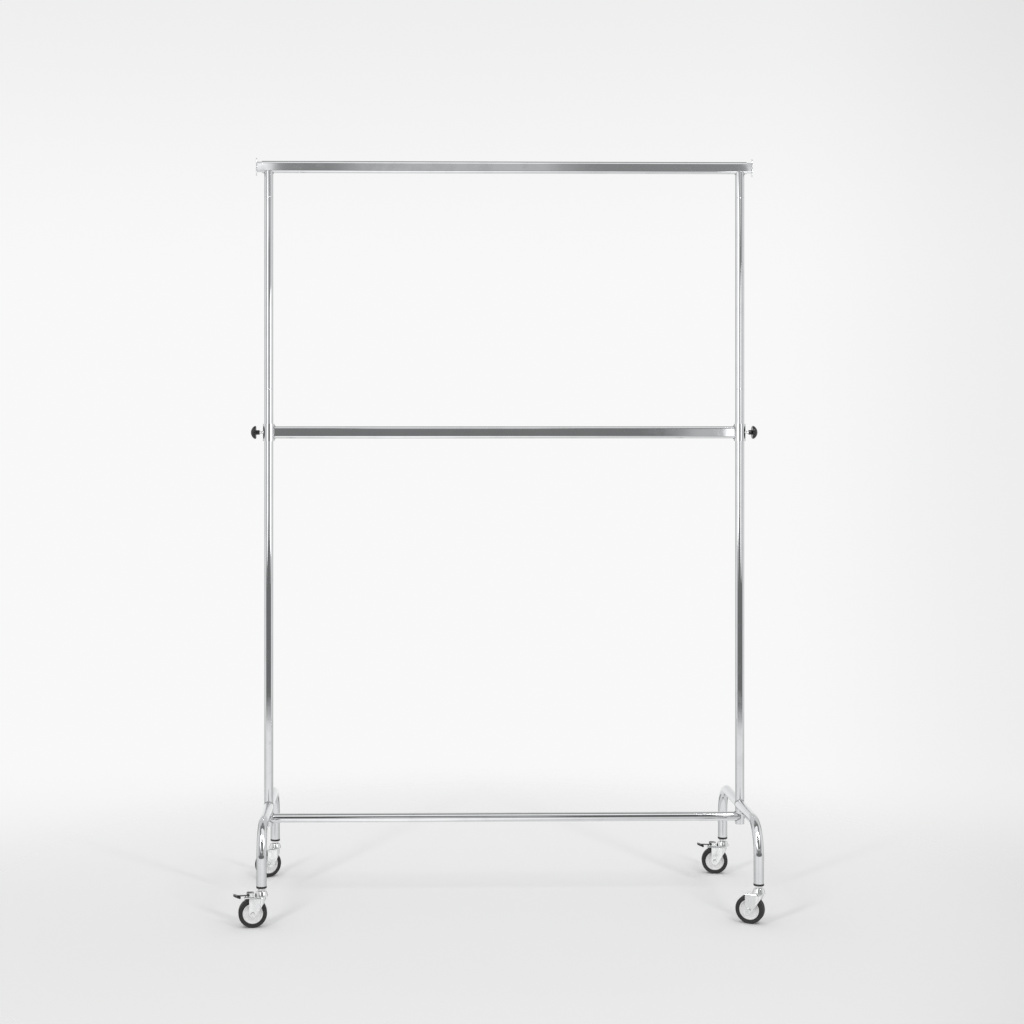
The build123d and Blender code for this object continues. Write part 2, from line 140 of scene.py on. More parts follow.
# Hubs, in millimetres: out from the boss's or the rim's radius, and from the middle plane
HUB_BORE, HUB_BOSS, HUB_BOSS_HALF = 5.05, 11.0, 13.0
HUB_RIM, HUB_RIM_HALF = 3.5, 10.0
HUB_WEB = ((-0.8, 13.0), (0.0, 12.2), (0.6, 8.2), (1.8, 7.0),
           (4.6, 6.5), (5.0, 6.0), (6.4, 6.0), (6.8, 6.5))
HUB_LIP = ((-1.6, 6.3), (-0.3, 7.4), (0.3, 9.4), (1.0, 10.0))

# Brakes, in millimetres: pedal's tip back from and over the pivot, run and rise of its top,
# ribs' size, and the rivets' place and profile
PEDAL_TIP = (39.0, 0.3)
PEDAL_RUN, PEDAL_RISE = 20.0, 6.5
RIB_SIZE = (1.2, 12.0, 1.0)
RIB_ROUND, RIB_PITCH = 0.3, 2.6
RIVET_REACH, CHEEK_FACE = 12.0, 11.0
RIVET_PROFILE = ((0.0, -0.4), (2.3, -0.4), (2.3, 0.1), (2.0, 0.6), (1.3, 1.0), (0.0, 1.15))

# Paper floor: shares of its radius between which it fades, and the range of its depth in metres
# over which its colour goes from near to far, a painted light falloff that darkens it in front
FLOOR_FADE = (0.45, 0.97)
FLOOR_SHADE_SPAN = (-0.8, 1.3)
FLOOR_ROUGHNESS = 0.9

# Softboxes on both sides. Cards: name, place, point faced, width and height, level's setting
SOFTBOX_PLACE, SOFTBOX_AIM, SOFTBOX_SIZE = (1.8, -2.6, 3.5), (0.0, 0.0, 0.9), (0.25, 2.0)
CARDS = (
    ("left_card", (-1.45, -3.125, 1.60), (0.0, -3.125, 1.60), (3.95, 1.60), "card_level"),
    ("right_card", (1.10, -1.65, 1.32), (0.0, -1.65, 1.32), (1.80, 1.05), "card_level"),
    ("top_card", (0.0, -1.40, 2.90), (0.0, -1.40, 0.0), (3.00, 2.20), "top_level"),
)
SENSOR_WIDTH = 36.0

# Backdrop: degrees of rise in which the floor runs up to it and in which it falls off upwards,
# sideways part of a direction in which it falls off to the right, and how much it falls off
SWEEP_RISE, HIGH_RISE, RIGHT_SIDE, FALLOFF = (-15.2, -11), (4, 16), (0.20, 0.36), 0.09

# Walls and ground that metal mirrors: levels, and degrees between which one gives way to the next
FRONT_LEVEL, SIDE_LEVEL, SIDE_TURN = 0.62, 0.84, (62, 80)
STRIPE_COUNT, STRIPE_LEVELS = 12.0, (0.68, 1.16)
GROUND_SIDE_LEVEL, GROUND_SIDE_TURN = 0.70, (55, 75)
GROUND_RISE, BACK_TURN = (-10.4, -9.2), (100, 140)
SHADE_RISE, SHADE_LEVELS = (-9, 12), (0.17, 0.30)
HIGH_SHADE_RISE, HIGH_SHADE_LEVEL = (10, 14), 0.10

# Areas laid over them in this order: name, way and its limits, limits of the rise, level.
# Limits are degrees: where an area starts, is full, starts to end and has ended.
# A way of "turn" counts from the front to both sides. A level of None is the dark front's shade.
PANEL_RISE, PANEL_LEVEL = (5.5, 6.5, 9.5, 11), 1.25
MIRRORED_AREAS = (
    ("back flags", "turn", (126, 132, 148, 154), (-40, -30, 11, 14), 0.28),
    ("ceiling", None, None, (40, 60), 0.2),
    ("dark front", "turn", (-2, -1, 34, 44), (-10.2, -9, 48, 60), None),
    ("low gap", "turn", (30, 40, 58, 68), (-10.2, -9, -5.6, -4.4), 0.17),
    ("mid rail glow", "right", (8.6, 10, 12, 14), (-4, -3, 2, 4), 0.55),
    ("top rail glow", "right", (-2.5, -0.5, 4.5, 6.5), (6, 7, 25, 35), 0.56),
    ("left panel", "left", (3.8, 4.5, 9, 12), PANEL_RISE, PANEL_LEVEL),
    ("right panel", "right", (11.5, 11.6, 15, 18), PANEL_RISE, PANEL_LEVEL),
    ("soffit", "turn", (110, 130), (15.5, 18, 60, 70), 0.70),
    ("zenith", None, None, (72, 78), 0.22),
)


class RackSizes(bpy.types.PropertyGroup):
    """Small sizes of the rack's own details."""

    edge_round: FloatProperty(
        name="Edge rounding", description="Rounding on the cut ends of tubes and sheet",
        default=0.0004, min=0.0001, unit="LENGTH")
    plate_round: FloatProperty(
        name="Plate rounding", description="Rounding on stop plates and sleeves",
        default=0.0008, min=0.0001, unit="LENGTH")
    weld_bead: FloatProperty(
        name="Weld bead", description="Radius of the weld beads",
        default=0.0013, min=0.0002, unit="LENGTH")
    thread_pitch: FloatProperty(
        name="Thread pitch", description="Pitch of the clamp screws",
        default=0.00125, min=0.0005, unit="LENGTH")
    thread_depth: FloatProperty(
        name="Thread depth", description="Depth of the clamp screws' thread",
        default=0.0006, min=0.0001, unit="LENGTH")
    tread_shoulder: FloatProperty(
        name="Tread shoulder", description="Rounding of the tyres' shoulders",
        default=0.0035, min=0.001, unit="LENGTH")
    pedal_ribs: IntProperty(
        name="Pedal ribs", description="Grip ribs on each brake pedal", default=3, min=1)


class RackFinish(bpy.types.PropertyGroup):
    """Colours of the rack's finishes."""

    chrome: FloatVectorProperty(
        name="Chrome", description="Bright plating on the tubes", subtype="COLOR",
        size=3, default=(0.76, 0.77, 0.78), min=0, max=1)
    zinc: FloatVectorProperty(
        name="Zinc", description="Bright zinc on forks, screws, nuts and stop plates",
        subtype="COLOR", size=3, default=(0.87, 0.875, 0.88), min=0, max=1)
    steel: FloatVectorProperty(
        name="Plain steel", description="Drawn steel inside the tubes", subtype="COLOR",
        size=3, default=(0.5, 0.5, 0.5), min=0, max=1)
    dark_steel: FloatVectorProperty(
        name="Dark steel", description="Black coating on brake levers and bolts", subtype="COLOR",
        size=3, default=(0.035, 0.035, 0.037), min=0, max=1)
    black_plastic: FloatVectorProperty(
        name="Black plastic", description="Knobs, pedals and leg inserts", subtype="COLOR",
        size=3, default=(0.008, 0.008, 0.0085), min=0, max=1)
    nylon: FloatVectorProperty(
        name="Nylon", description="Clamp pads and glides", subtype="COLOR",
        size=3, default=(0.72, 0.70, 0.65), min=0, max=1)
    hub: FloatVectorProperty(
        name="Hub", description="Moulded wheel hubs", subtype="COLOR",
        size=3, default=(0.87, 0.87, 0.87), min=0, max=1)
    rubber: FloatVectorProperty(
        name="Rubber", description="Tyres", subtype="COLOR",
        size=3, default=(0.022, 0.022, 0.022), min=0, max=1)


class RackStudio(bpy.types.PropertyGroup):
    """Floor, light and camera of the studio."""

    # The paper's colour with a painted light falloff: painted shade on the floor in front of the
    # rack, and a lighter painted tone behind it.
    shaded_near_floor: FloatVectorProperty(
        name="Near floor", description="Colour of the paper floor in front of the rack",
        subtype="COLOR", size=3, default=(0.795, 0.795, 0.795), min=0, max=1)
    lit_far_floor: FloatVectorProperty(
        name="Back of the floor", description="Colour of the paper floor behind the rack",
        subtype="COLOR", size=3, default=(0.915, 0.915, 0.915), min=0, max=1)
    floor_radius: FloatProperty(
        name="Floor radius", description="Radius at which the paper floor has faded out",
        default=1.9, min=1.0, unit="LENGTH")
    backdrop: FloatProperty(
        name="Backdrop", description="Level of the backdrop behind the rack",
        default=0.94, min=0, max=1)
    fill: FloatProperty(
        name="Fill light", description="Level of the even light from all round",
        default=0.80, min=0, max=1)
    floor_level: FloatProperty(
        name="Far floor", description="Level of the floor where the paper sheet has faded out",
        default=0.815, min=0, max=1)
    card_level: FloatProperty(
        name="Side cards", description="Level of the two white cards that the uprights mirror",
        default=1.4, min=0)
    top_level: FloatProperty(
        name="Top card", description="Level of the card overhead that the rails mirror",
        default=0.85, min=0)
    lamp_power: FloatProperty(
        name="Softboxes", description="Power of each of the two soft lamps",
        default=28.0, min=0, subtype="POWER")
    lens: FloatProperty(
        name="Lens", description="Focal length of the camera",
        default=60.94, min=1, subtype="DISTANCE_CAMERA")
    shift: FloatVectorProperty(
        name="Shift", description="Sideways and upward shift of the lens",
        size=2, default=(0.0801, -0.0922))
    camera_place: FloatVectorProperty(
        name="Camera place", description="Where the camera stands", subtype="TRANSLATION",
        size=3, default=(-0.2975, -4.8127, 1.3362))
    camera_yaw: FloatProperty(
        name="Camera yaw", description="Turn of the camera about the vertical",
        default=radians(-1.066), subtype="ANGLE")


def sizes():
    """The rack's small sizes, as set in the sidebar."""
    return bpy.context.scene.rack_sizes


# Shader node groups and materials


def link(tree, source, target):
    """Join two sockets."""
    tree.links.new(source, target)


def feed(tree, value, socket):
    """Set a socket to a number, or join it to another socket."""
    if isinstance(value, (int, float)):
        socket.default_value = value
    else:
        link(tree, value, socket)


def add(tree, kind, place, **values):
    """Add a node and set its own options."""
    node = tree.nodes.new(kind)
    node.location = place
    for name, value in values.items():
        setattr(node, name, value)
    return node


def noise(tree, vector, place, scale, detail, roughness):
    """Add a noise texture read at a vector."""
    node = add(tree, "ShaderNodeTexNoise", place)
    node.inputs["Scale"].default_value = scale
    node.inputs["Detail"].default_value = detail
    node.inputs["Roughness"].default_value = roughness
    link(tree, vector, node.inputs["Vector"])
    return node.outputs["Fac"]


def compute(tree, operation, place, first, second=0.0):
    """Add a sum, a product, an angle or the like."""
    node = add(tree, "ShaderNodeMath", place, operation=operation)
    feed(tree, first, node.inputs[0])
    feed(tree, second, node.inputs[1])
    return node.outputs[0]


def remap(tree, place, value, low, high, new_low=0.0, new_high=1.0):
    """Map a value from one range to another, with soft ends."""
    node = add(tree, "ShaderNodeMapRange", place, interpolation_type="SMOOTHSTEP")
    limits = {"From Min": low, "From Max": high, "To Min": new_low, "To Max": new_high}
    for name, limit in limits.items():
        feed(tree, limit, node.inputs[name])
    link(tree, value, node.inputs["Value"])
    return node.outputs["Result"]


def blended(tree, place, mask, first, second, label=""):
    """First where the mask is 0, second where it is 1."""
    mix = add(tree, "ShaderNodeMix", place, data_type="FLOAT", label=label)
    link(tree, mask, mix.inputs["Factor"])
    feed(tree, first, mix.inputs["A"])
    feed(tree, second, mix.inputs["B"])
    return mix.outputs["Result"]


def band(tree, place, value, limits):
    """A mask of an angle that rises between two limits in degrees, and falls between two more."""
    low, high, *fall = (radians(limit) for limit in limits)
    mask = remap(tree, place, value, low, high)
    if fall:
        x, y = place
        falling = remap(tree, (x, y - 120), value, *fall, new_low=1.0, new_high=0.0)
        mask = compute(tree, "MULTIPLY", (x + 150, y), mask, falling)
    return mask


def new_group(name, inputs, outputs):
    """Start a shader node group with named float inputs after its Vector, and named outputs."""
    tree = bpy.data.node_groups.new(name, "ShaderNodeTree")
    tree.interface.new_socket("Vector", in_out="INPUT", socket_type="NodeSocketVector")
    for label, value in inputs.items():
        socket = tree.interface.new_socket(label, in_out="INPUT", socket_type="NodeSocketFloat")
        socket.default_value = value
    for label in outputs:
        tree.interface.new_socket(label, in_out="OUTPUT", socket_type="NodeSocketFloat")
    start = add(tree, "NodeGroupInput", (-900, 0))
    end = add(tree, "NodeGroupOutput", (700, 0))
    return tree, start.outputs, end.inputs


def handled_metal_group():
    """Smudges, hairline scratches and slow ripples of a metal surface that is handled and wiped."""
    fine_height, scratch_depth = 0.02, 0.01
    tree, given, out = new_group(
        "Handled metal", {"Fineness": 1.0}, ("Smudge", "Scratch", "Height"))
    sized = add(tree, "ShaderNodeVectorMath", (-700, 0), operation="SCALE")
    link(tree, given["Vector"], sized.inputs[0])
    link(tree, given["Fineness"], sized.inputs["Scale"])
    place = sized.outputs[0]
    smudge = noise(tree, place, (-450, 250), scale=14.0, detail=4.0, roughness=0.6)
    link(tree, remap(tree, (-200, 250), smudge, low=0.42, high=0.72), out["Smudge"])
    drawn = add(tree, "ShaderNodeMapping", (-450, 0))
    drawn.inputs["Scale"].default_value = (60.0, 900.0, 900.0)
    drawn.inputs["Rotation"].default_value = (0.4, 0.3, 0.5)
    link(tree, place, drawn.inputs["Vector"])
    scratch = noise(tree, drawn.outputs[0], (-200, 0), scale=1.0, detail=2.0, roughness=0.55)
    scratch = remap(tree, (50, 0), scratch, low=0.64, high=0.74)
    link(tree, scratch, out["Scratch"])
    ripple = noise(tree, place, (-450, -300), scale=22.0, detail=1.0, roughness=0.4)
    fine = noise(tree, place, (-450, -550), scale=2400.0, detail=2.0, roughness=0.5)
    fine = compute(tree, "MULTIPLY", (50, -450), fine, fine_height)
    height = compute(tree, "ADD", (250, -300), ripple, fine)
    cut = compute(tree, "MULTIPLY", (250, -150), scratch, scratch_depth)
    link(tree, compute(tree, "SUBTRACT", (450, -300), height, cut), out["Height"])
    return tree


def moulded_group():
    """Fine grain, flow clouds and dust of a moulded plastic or rubber surface."""
    dust_height = 0.5
    tree, given, out = new_group(
        "Moulded grain", {"Grain": 1500.0}, ("Cloud", "Dust", "Height"))
    place = given["Vector"]
    cloud = noise(tree, place, (-450, 250), scale=38.0, detail=4.0, roughness=0.6)
    link(tree, remap(tree, (-200, 250), cloud, low=0.35, high=0.7), out["Cloud"])
    dust = noise(tree, place, (-450, 0), scale=420.0, detail=5.0, roughness=0.7)
    link(tree, remap(tree, (-200, 0), dust, low=0.55, high=0.8), out["Dust"])
    grain = add(tree, "ShaderNodeTexVoronoi", (-450, -300), feature="F1")
    link(tree, place, grain.inputs["Vector"])
    link(tree, given["Grain"], grain.inputs["Scale"])
    dust = compute(tree, "MULTIPLY", (0, -450), dust, dust_height)
    height = compute(tree, "ADD", (200, -300), grain.outputs["Distance"], dust)
    link(tree, height, out["Height"])
    return tree


def effect(name, build):
    """A shader node group by name, built on its first use."""
    return bpy.data.node_groups.get(name) or build()


def start_material(slot, group, values):
    """Start a material on Object coordinates with one effect group, and give back its sockets."""
    material = bpy.data.materials.new("rack_" + slot)
    material.use_nodes = True
    tree = material.node_tree
    shader = tree.nodes["Principled BSDF"]
    place = add(tree, "ShaderNodeTexCoord", (-1100, 0))
    marks = add(tree, "ShaderNodeGroup", (-850, 0), node_tree=group)
    link(tree, place.outputs["Object"], marks.inputs["Vector"])
    for label, value in values.items():
        marks.inputs[label].default_value = value
    return material, tree, shader, marks.outputs


def tint(tree, shader, mask, first, second):
    """Feed the base colour from two colours mixed by a mask."""
    mix = add(tree, "ShaderNodeMix", (-350, 200), data_type="RGBA")
    mix.inputs["A"].default_value = (*first, 1.0)
    mix.inputs["B"].default_value = (*second, 1.0)
    link(tree, mask, mix.inputs["Factor"])
    link(tree, mix.outputs["Result"], shader.inputs["Base Color"])


def emboss(tree, shader, height, distance, strength):
    """Feed the normal from a height."""
    bump = add(tree, "ShaderNodeBump", (-350, -300))
    bump.inputs["Distance"].default_value = distance
    bump.inputs["Strength"].default_value = strength
    link(tree, height, bump.inputs["Height"])
    link(tree, bump.outputs["Normal"], shader.inputs["Normal"])


def metal(slot, colour, fineness, roughness, bump):
    """Plated or plain metal with smudges and hairline scratches."""
    group = effect("Handled metal", handled_metal_group)
    material, tree, shader, marks = start_material(slot, group, {"Fineness": fineness})
    shader.inputs["Metallic"].default_value = 1.0
    worn = compute(tree, "MAXIMUM", (-550, 100), marks["Smudge"], marks["Scratch"])
    tint(tree, shader, worn, colour, scaled(colour, WORN_SHARE))
    rough = remap(tree, (-350, -50), worn, 0.0, 1.0, *roughness)
    link(tree, rough, shader.inputs["Roughness"])
    emboss(tree, shader, marks["Height"], METAL_RELIEF, bump)
    return material


def moulded(slot, colour, dust, grain, roughness, bump):
    """Moulded plastic, rubber or coating with a fine grain and a little dust."""
    group = effect("Moulded grain", moulded_group)
    material, tree, shader, marks = start_material(slot, group, {"Grain": grain})
    clouded = compute(tree, "MULTIPLY", (-550, 200), marks["Cloud"], marks["Dust"])
    tint(tree, shader, clouded, colour, paler(colour, dust))
    rough = remap(tree, (-350, -50), marks["Cloud"], 0.0, 1.0, *roughness)
    link(tree, rough, shader.inputs["Roughness"])
    emboss(tree, shader, marks["Height"], MOULDED_RELIEF, bump)
    return material


def scaled(colour, share):
    """A share of a colour."""
    return [share * channel for channel in colour]


def paler(colour, amount):
    """A colour moved towards white, for dust."""
    return [channel + (1.0 - channel) * amount for channel in colour]


def make_finishes():
    """Make one material for each of the record's slots, and one for the weld beads."""
    look = bpy.context.scene.rack_finish
    finishes = {}
    for slot, (colour, share, *values) in METALS.items():
        finishes[slot] = metal(slot, scaled(getattr(look, colour), share), *values)
    for slot, (colour, *values) in MOULDINGS.items():
        finishes[slot] = moulded(slot, getattr(look, colour), *values)
    return finishes


# Mesh building


def finish_piece(name, bm, node, slot=None, body=None, finish_name=None):
    """Turn a bmesh into a piece that rides on a body and wears a finish.

    With a CAD node it stands for that node, and takes its body and slot from it.
    """
    if not bm.faces:
        raise RuntimeError(f"{name} has no faces")
    mesh = bpy.data.meshes.new(name)
    bm.to_mesh(mesh)
    bm.free()
    mesh.shade_smooth()
    mesh.set_sharp_from_angle(angle=radians(SHARP_ANGLE))
    piece = bpy.data.objects.new(name, mesh)
    bpy.context.scene.collection.objects.link(piece)
    slot = slot or SLOT_OF_NODE[node]
    mesh.materials.append(bpy.data.materials["rack_" + (finish_name or slot)])
    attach(piece, body or frame["nodes"][node]["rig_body"])
    if node:
        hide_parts(node)
    return piece


def settle_faces(piece):
    """Keep broad faces flat in the shading beside their small rounded edges."""
    weighted = piece.modifiers.new("Flat faces", "WEIGHTED_NORMAL")
    weighted.mode = "FACE_AREA"
    weighted.keep_sharp = True


def close_seams(bm):
    """Merge coincident points and turn the faces outwards."""
    bmesh.ops.remove_doubles(bm, verts=bm.verts, dist=SEAM_MERGE)
    bmesh.ops.recalc_face_normals(bm, faces=bm.faces)


def fill_ends(bm):
    """Close the open ends of a mesh."""
    rims = [edge for edge in bm.edges if edge.is_boundary]
    bmesh.ops.holes_fill(bm, edges=rims, sides=0)


def round_edges(bm, width, edges=None, segments=2):
    """Round the given edges, or all the sharp ones."""
    if edges is None:
        limit = radians(EASED_ANGLE)
        edges = [e for e in bm.edges if e.is_manifold and e.calc_face_angle(0.0) > limit]
    bmesh.ops.bevel(bm, geom=edges, offset=width, offset_type="OFFSET", affect="EDGES",
                    segments=segments, profile=0.5, material=-1, clamp_overlap=True)


def eased_copy(node, width, finish_name=None):
    """A copy of a CAD node with its sharp edges rounded."""
    bm = bmesh.new()
    bm.from_mesh(frame["nodes"][node].data)
    bmesh.ops.remove_doubles(bm, verts=bm.verts, dist=CAD_MERGE)
    bmesh.ops.dissolve_limit(
        bm, angle_limit=radians(FLAT_ANGLE), verts=bm.verts, edges=bm.edges)
    round_edges(bm, width)
    settle_faces(finish_piece(node + "_eased", bm, node, finish_name=finish_name))


def turned(bm, profile, centre, axis, steps=72, closed=True):
    """Spin a profile of (radius, height) in millimetres about an axis."""
    axis = Vector(axis).normalized()
    centre = Vector(centre)
    outward = axis.orthogonal().normalized()
    points = [bm.verts.new(centre + (outward * r + axis * h) * MM) for r, h in profile]
    following = points[1:] + points[:1] if closed else points[1:]
    edges = [bm.edges.new(pair) for pair in zip(points, following)]
    bmesh.ops.spin(bm, geom=points + edges, cent=centre, axis=axis, dvec=(0, 0, 0),
                   angle=2 * pi, steps=steps, use_merge=True)


def reach_along(node, centre, axis):
    """How far a node reaches along an axis from a centre, in millimetres."""
    axis, centre = Vector(axis).normalized(), Vector(centre)
    points = frame["nodes"][node].data.vertices
    return max((vert.co - centre).dot(axis) for vert in points) / MM


def both_faces(half, *middle):
    """A profile's upper half, any points on its middle plane, and the half's mirror image."""
    return [*half, *middle, *((r, -h) for r, h in reversed(half))]


def bead(bm, centre, axis, towards, radius, thickness, sweep, shape, steps=96):
    """Weld bead round an axis. shape gives, for an offset from the centre, the shift it takes."""
    axis = Vector(axis).normalized()
    towards = Vector(towards).normalized()
    start = Matrix.Rotation(-sweep / 2, 3, axis) @ towards
    across = axis.cross(start)
    basis = Matrix((start, axis, across)).transposed().to_4x4()
    ring = bmesh.ops.create_circle(
        bm, cap_ends=False, radius=thickness, segments=WELD_SIDES,
        matrix=Matrix.Translation(Vector(centre) + start * radius) @ basis)["verts"]
    edges = list({edge for vert in ring for edge in vert.link_edges})
    whole = sweep >= 2 * pi
    before = set(bm.verts) - set(ring)
    bmesh.ops.spin(bm, geom=ring + edges, cent=centre, axis=axis, dvec=(0, 0, 0),
                   angle=sweep, steps=steps, use_merge=whole)
    fresh = [vert for vert in bm.verts if vert not in before]
    for vert in fresh:
        offset = vert.co - Vector(centre)
        flat = offset - axis * offset.dot(axis)
        angle = atan2(flat.dot(axis.cross(towards)), flat.dot(towards))
        core = flat.normalized() * radius
        swell = 1.0
        for share, count, phase in WELD_WAVES:
            swell += share * sin(angle * count + phase)
        if not whole:
            swell *= sqrt(max(WELD_TIP, 1.0 - (2 * angle / sweep) ** 2))
        vert.co = Vector(centre) + core + (offset - core) * swell
    for vert in fresh:
        vert.co += shape(vert.co - Vector(centre))
    if not whole:
        fill_ends(bm)


def weld_piece(name, bm, body):
    """Turn a bmesh of weld beads into a piece on a body."""
    close_seams(bm)
    finish_piece(name, bm, None, slot="chrome_tube", body=body, finish_name="weld_bead")


def saddle(offset, bar_radius):
    """Height of a round bar's side over its axis, at an offset across it."""
    return sqrt(max(0.0, bar_radius ** 2 - min(abs(offset), bar_radius) ** 2))


# Operators


class RACK_OT_finishes(bpy.types.Operator):
    """Make the finishes and put them on every carried-over part"""

    bl_idname = "rack.finishes"
    bl_label = "Finishes"

    def execute(self, context):
        finishes = make_finishes()
        for name, node in frame["nodes"].items():
            node.data.materials[0] = finishes[SLOT_OF_NODE[name]]
        return {"FINISHED"}


class RACK_OT_tubes(bpy.types.Operator):
    """Round the tubes' cut ends, the sleeves, arms and stop plates, and roll lips at the seams"""

    bl_idname = "rack.tubes"
    bl_label = "Tubes and rails"

    def execute(self, context):
        size = sizes()
        for node in ("top_rail", "mid_rail", "lower_crossbar"):
            eased_copy(node, size.edge_round)
        tubes = ("lower_upright", "upper_upright", "rail_post", "base_stub", "extension_arm")
        for side in SIDES:
            for part in tubes:
                eased_copy(f"{side}_{part}", size.edge_round)
            for part in ("upper_upright", "rail_post"):
                self.seam_lip(f"{side}_{part}")
            eased_copy(f"{side}_rail_sleeve", size.plate_round)
            eased_copy(f"{side}_stop_plate", size.plate_round, "zinc_sheet")
        return {"FINISHED"}

    def seam_lip(self, node):
        """Rolled lip on the lower end of a tube, where it plugs into the next."""
        low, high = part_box(node)
        radius = (high.y - low.y) / 2 / MM
        profile = [(radius + out, up) for out, up in LIP_PROFILE]
        bm = bmesh.new()
        turned(bm, profile, ((low.x + high.x) / 2, 0.0, low.z), (0, 0, 1))
        close_seams(bm)
        finish_piece(f"{node}_lip", bm, None, slot="chrome_tube", body="frame")


class RACK_OT_welds(bpy.types.Operator):
    """Lay the weld beads at the sleeves, the rail posts, the stubs and the feet of the uprights"""

    bl_idname = "rack.welds"
    bl_label = "Welds"

    def execute(self, context):
        for side in SIDES:
            self.coped_end(side, "mid_rail", "rail_sleeve", swell=1.8, body="mid_rail")
            self.coped_end(side, "lower_crossbar", "base_stub", swell=1.4, body="frame")
            self.post_welds(side, swell=1.25)
            self.hoop_weld(side, "base_stub", way=-1, swell=1.0)
            self.hoop_weld(side, "lower_upright", way=1, swell=1.2)
        return {"FINISHED"}

    def coped_end(self, side, bar, post, swell, body):
        """Bead round a bar's coped end, against the side of a round post."""
        low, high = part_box(f"{side}_{post}")
        bar_low, bar_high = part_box(bar)
        post_radius = (high.y - low.y) / 2
        bar_radius = (bar_high.y - bar_low.y) / 2
        stretch = (bar_high.z - bar_low.z) / 2 - bar_radius
        centre = Vector(((low.x + high.x) / 2, 0.0, (bar_low.z + bar_high.z) / 2))
        start = (0, sin(WELD_START), cos(WELD_START))

        def follow(offset):
            reach = -SIDES[side] * saddle(offset.y, post_radius)
            return Vector((reach, 0.0, stretch if offset.z > 0 else -stretch))

        bm = bmesh.new()
        bead(bm, centre, (1, 0, 0), start, bar_radius, swell * sizes().weld_bead, 2 * pi, follow)
        weld_piece(f"{side}_{post}_weld", bm, body)

    def post_welds(self, side, swell):
        """Short beads where a post's wall meets the underside of the top rail."""
        low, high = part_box(f"{side}_rail_post")
        rail_low, rail_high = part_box("top_rail")
        rail_radius = (rail_high.y - rail_low.y) / 2
        post_radius = (high.x - low.x) / 2
        centre = Vector(((low.x + high.x) / 2, 0.0, rail_low.z))

        def follow(offset):
            return Vector((0.0, 0.0, rail_radius - saddle(offset.y, rail_radius)))

        bm = bmesh.new()
        for towards in ((1, 0, 0), (-1, 0, 0)):
            bead(bm, centre, (0, 0, 1), towards, post_radius, swell * sizes().weld_bead,
                 SHORT_WELD, follow, steps=32)
        weld_piece(f"{side}_post_welds", bm, "frame")

    def hoop_weld(self, side, part, way, swell):
        """Bead where a stub or an upright's foot meets its hoop, below or above it."""
        low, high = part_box(f"{side}_{part}")
        hoop_low, hoop_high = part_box(f"{side}_base_hoop")
        hoop_radius = (hoop_high.x - hoop_low.x) / 2
        radius = (high.x - low.x) / 2
        centre = Vector(((low.x + high.x) / 2, 0.0, hoop_high.z - hoop_radius))

        def follow(offset):
            return Vector((0.0, 0.0, way * saddle(offset.x, hoop_radius)))

        bm = bmesh.new()
        bead(bm, centre, (0, 0, 1), (0, 1, 0), radius, swell * sizes().weld_bead, 2 * pi, follow)
        weld_piece(f"{side}_{part}_hoop_weld", bm, "frame")


class RACK_OT_clamps(bpy.types.Operator):
    """Cut the thread on the clamp screws"""

    bl_idname = "rack.clamps"
    bl_label = "Clamp screws"

    def execute(self, context):
        for side, sign in SIDES.items():
            self.screw(side, sign)
        return {"FINISHED"}

    def screw(self, side, sign):
        """One screw: a tooth's outline spun into a helix along the screw, with closed ends."""
        pitch = sizes().thread_pitch
        low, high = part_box(f"{side}_clamp_screw")
        crest = (high.z - low.z) / 2
        root = crest - sizes().thread_depth
        tooth = ((root, 0.0), *((crest, share) for share in THREAD_CREST), (root, 1.0))
        axis = Vector((sign, 0, 0))
        start = Vector((low.x if sign > 0 else high.x, 0.0, (low.z + high.z) / 2))
        turns = int((high.x - low.x) / pitch) - 1
        bm = bmesh.new()
        points = [bm.verts.new(start + Vector((sign * share * pitch, radius, 0.0)))
                  for radius, share in tooth]
        edges = [bm.edges.new(pair) for pair in zip(points, points[1:])]
        bmesh.ops.spin(bm, geom=points + edges, cent=start, axis=axis,
                       dvec=axis * pitch / THREAD_STEPS,
                       angle=2 * pi * turns, steps=THREAD_STEPS * turns)
        bmesh.ops.remove_doubles(bm, verts=bm.verts, dist=THREAD_MERGE)
        fill_ends(bm)
        close_seams(bm)
        finish_piece(f"{side}_threaded_screw", bm, f"{side}_clamp_screw")


